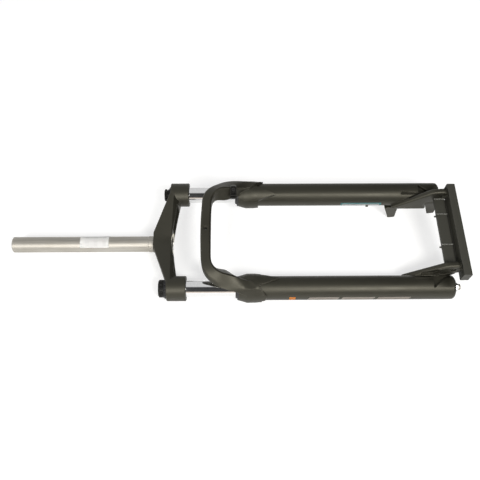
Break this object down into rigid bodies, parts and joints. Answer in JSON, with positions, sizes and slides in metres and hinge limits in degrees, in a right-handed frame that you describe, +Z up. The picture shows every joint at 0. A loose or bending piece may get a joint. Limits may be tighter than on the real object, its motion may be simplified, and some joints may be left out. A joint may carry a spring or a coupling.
{
  "type": "bicycle suspension fork",
  "caption": "Telescopic bicycle fork for a fat tyre: steel steerer, forged crown, chromed stanchions, one-piece cast lowers with an arch, open dropouts and post brake mounts.",
  "frame": {"origin": "on the steerer axis at the foot of the crown race seat", "axes": "+Z up the steerer, +X forward to the arch, +Y to the rider's left"},
  "size_m": [0.1033, 0.241, 0.8093],
  "materials": {
    "steerer_steel": "bare, nickel grey",
    "crown_alloy": "matt black",
    "chromed_steel": "polished chrome",
    "cast_magnesium": "matt black paint",
    "rubber": "matt",
    "foam": "open cell, oiled",
    "bushing_polymer": "low-friction lining",
    "black_plastic": "satin",
    "white_plastic": "satin",
    "zinc_steel": "zinc plated",
    "spring_steel": "oiled, dark",
    "alloy": "turned",
    "anodised_alloy": "black anodised"
  },
  "bodies": {
    "upper": {"steerer_tube": "steerer_steel", "crown": "crown_alloy", "stanchion_left": "chromed_steel", "stanchion_right": "chromed_steel", "spring_top_cap": "black_plastic", "damper_top_cap": "anodised_alloy", "spring_end_guide": "white_plastic", "top_out_bumper": "rubber", "damper_tube": "alloy", "damper_seal_head": "white_plastic"},
    "lowers": {"lower_casting": "cast_magnesium", "wiper_seal_left": "rubber", "wiper_seal_right": "rubber", "foam_ring_left": "foam", "foam_ring_right": "foam", "upper_bushing_left": "bushing_polymer", "upper_bushing_right": "bushing_polymer", "lower_bushing_left": "bushing_polymer", "lower_bushing_right": "bushing_polymer", "compression_rod": "alloy", "spring_perch": "white_plastic", "main_spring": "spring_steel", "bottom_out_bumper": "rubber", "damper_shaft": "chromed_steel", "damper_piston": "alloy", "foot_bolt_left": "zinc_steel", "foot_nut_right": "zinc_steel", "foot_washer_left": "zinc_steel", "foot_washer_right": "zinc_steel", "hose_guide": "black_plastic", "hose_guide_screw": "zinc_steel", "dropout_spacer": "black_plastic"},
    "preload_knob": {"preload_knob": "black_plastic", "preload_spindle": "zinc_steel"},
    "preload_plunger": {"preload_plunger": "white_plastic"},
    "lockout_knob": {"lockout_knob": "black_plastic", "lockout_spindle": "zinc_steel"}
  },
  "joints": [
    {"name": "suspension_travel", "type": "slide", "parent": "upper", "child": "lowers", "axis": [0, 0, 1], "range_m": [0, 0.07], "stiffness_N_per_m": 7000, "springref_m": -0.008, "deforming": ["main_spring"]},
    {"name": "preload_turn", "type": "hinge", "parent": "upper", "child": "preload_knob", "pos_m": [0.0165, 0.095, -0.02], "axis": [0, 0, -1], "range_deg": [0, 720]},
    {"name": "preload_plunger_slide", "type": "slide", "parent": "upper", "child": "preload_plunger", "axis": [0, 0, -1], "range_m": [0, 0.008]},
    {"name": "lockout_turn", "type": "hinge", "parent": "upper", "child": "lockout_knob", "pos_m": [0.0165, -0.095, -0.02], "axis": [0, 0, 1], "range_deg": [0, 90]}
  ],
  "couplings": [
    {"joint": "preload_turn", "follows": "preload_plunger_slide", "rad_per_m": 1570.8}
  ]
}
